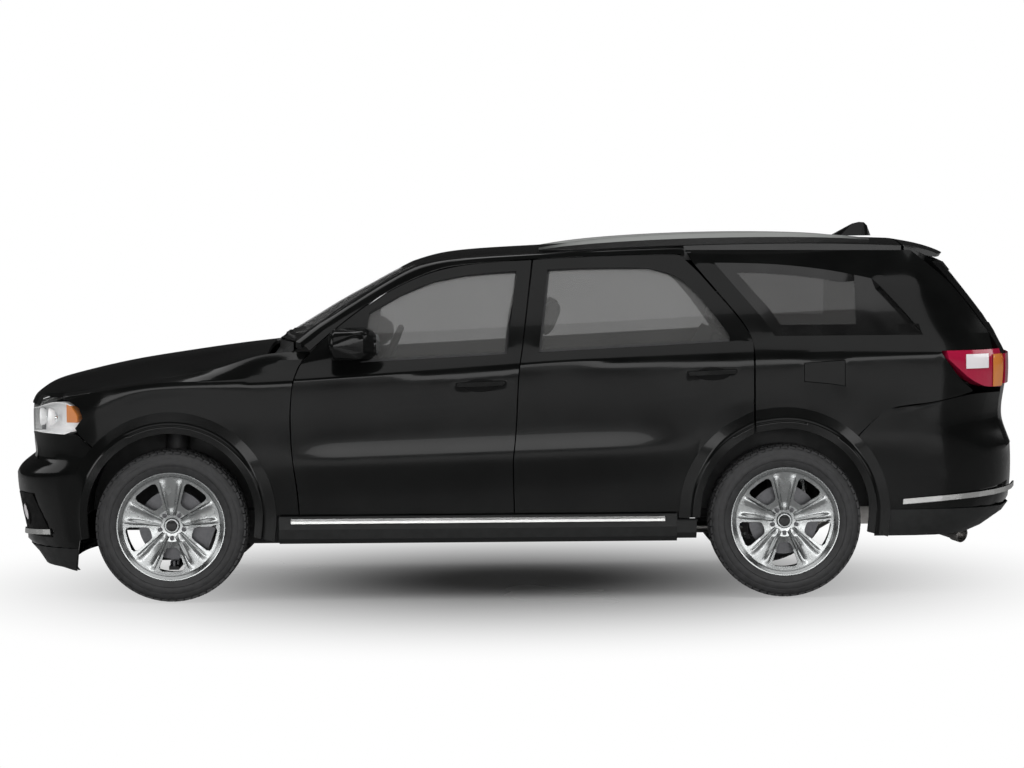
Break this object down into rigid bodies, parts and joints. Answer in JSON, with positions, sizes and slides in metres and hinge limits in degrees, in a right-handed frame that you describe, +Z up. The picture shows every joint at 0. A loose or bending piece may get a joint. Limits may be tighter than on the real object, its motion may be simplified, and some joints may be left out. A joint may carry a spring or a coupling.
{
  "type": "sport utility vehicle",
  "caption": "Large black sport utility vehicle with opening doors, hood and tailgate, steered front wheels, three seat rows and silver roof rails.",
  "frame": {"origin": "on the ground under the middle of the length and width", "axes": "+X to the rear, +Y to the vehicle's right, +Z up"},
  "size_m": [5.11, 2.2202, 1.8522],
  "materials": {
    "paint": "gloss",
    "glass": "gloss",
    "bright": "polished",
    "alloy": "polished",
    "tyre": "matte",
    "iron": "machined",
    "trim": "grained",
    "steel": "satin",
    "clear_lens": "gloss",
    "red_lens": "gloss",
    "seat": "satin"
  },
  "bodies": {
    "body": {"front_fenders": "paint", "quarter_panels": "paint", "quarter_windows": "glass", "windscreen": "glass", "roof_strips": "paint", "roof_panel": "paint", "roof_rails": "bright", "roof_fin": "paint", "cowl_panel": "trim", "front_bumper": "paint", "grille": "bright", "headlamps": "clear_lens", "rear_bumper": "paint", "tail_lamps": "red_lens", "arch_flares": "paint", "sill_cladding": "trim", "bright_strips": "bright", "wheel_housings": "trim", "floor_pan": "steel", "pillars": "steel", "front_suspension": "steel", "rear_suspension": "steel", "powertrain": "steel", "exhaust": "steel", "front_seats": "seat", "rear_seats": "seat", "dashboard": "trim", "steering_wheel": "trim"},
    "front_door_l": {"front_door_left": "paint", "front_window_left": "glass", "mirror_left": "paint"},
    "front_door_r": {"front_door_right": "paint", "front_window_right": "glass", "mirror_right": "paint"},
    "rear_door_l": {"rear_door_left": "paint", "rear_window_left": "glass"},
    "rear_door_r": {"rear_door_right": "paint", "rear_window_right": "glass"},
    "hood_lid": {"hood": "paint"},
    "tail_lid": {"tailgate": "paint", "tailgate_window": "glass", "tailgate_lamp": "red_lens", "spoiler": "paint"},
    "filler_lid": {"fuel_flap": "paint"},
    "steer_l": {"knuckle_left": "steel"},
    "steer_r": {"knuckle_right": "steel"},
    "wheel_fl": {"tyre_front_left": "tyre", "wheel_front_left": "alloy", "disc_front_left": "iron"},
    "wheel_fr": {"tyre_front_right": "tyre", "wheel_front_right": "alloy", "disc_front_right": "iron"},
    "wheel_rl": {"tyre_rear_left": "tyre", "wheel_rear_left": "alloy", "disc_rear_left": "iron"},
    "wheel_rr": {"tyre_rear_right": "tyre", "wheel_rear_right": "alloy", "disc_rear_right": "iron"}
  },
  "joints": [
    {"name": "front_door_left_hinge", "type": "hinge", "parent": "body", "child": "front_door_l", "pos_m": [-1.005, -0.935, 0.9], "axis": [0, 0, -1], "range_deg": [0, 65]},
    {"name": "front_door_right_hinge", "type": "hinge", "parent": "body", "child": "front_door_r", "pos_m": [-1.005, 0.935, 0.9], "axis": [0, 0, 1], "range_deg": [0, 65]},
    {"name": "rear_door_left_hinge", "type": "hinge", "parent": "body", "child": "rear_door_l", "pos_m": [0.09, -0.935, 0.9], "axis": [0, 0, -1], "range_deg": [0, 65]},
    {"name": "rear_door_right_hinge", "type": "hinge", "parent": "body", "child": "rear_door_r", "pos_m": [0.09, 0.935, 0.9], "axis": [0, 0, 1], "range_deg": [0, 65]},
    {"name": "hood_hinge", "type": "hinge", "parent": "body", "child": "hood_lid", "pos_m": [-1.213, 0, 1.275], "axis": [0, 1, 0], "range_deg": [0, 55]},
    {"name": "tailgate_hinge", "type": "hinge", "parent": "body", "child": "tail_lid", "pos_m": [1.958, 0, 1.77], "axis": [0, -1, 0], "range_deg": [0, 85]},
    {"name": "fuel_flap_hinge", "type": "hinge", "parent": "body", "child": "filler_lid", "pos_m": [1.446, -0.936, 1.1], "axis": [0, 0, -1], "range_deg": [0, 80]},
    {"name": "steer_left", "type": "hinge", "parent": "body", "child": "steer_l", "pos_m": [-1.695, -0.787, 0.378], "axis": [0, 0, 1], "range_deg": [-33, 33]},
    {"name": "steer_right", "type": "hinge", "parent": "body", "child": "steer_r", "pos_m": [-1.695, 0.787, 0.378], "axis": [0, 0, 1], "range_deg": [-33, 33]},
    {"name": "spin_front_left", "type": "hinge", "parent": "steer_l", "child": "wheel_fl", "pos_m": [-1.695, -0.812, 0.378], "axis": [0, 1, 0], "continuous": true},
    {"name": "spin_front_right", "type": "hinge", "parent": "steer_r", "child": "wheel_fr", "pos_m": [-1.695, 0.812, 0.378], "axis": [0, 1, 0], "continuous": true},
    {"name": "spin_rear_left", "type": "hinge", "parent": "body", "child": "wheel_rl", "pos_m": [1.347, -0.812, 0.378], "axis": [0, 1, 0], "continuous": true},
    {"name": "spin_rear_right", "type": "hinge", "parent": "body", "child": "wheel_rr", "pos_m": [1.347, 0.812, 0.378], "axis": [0, 1, 0], "continuous": true}
  ]
}
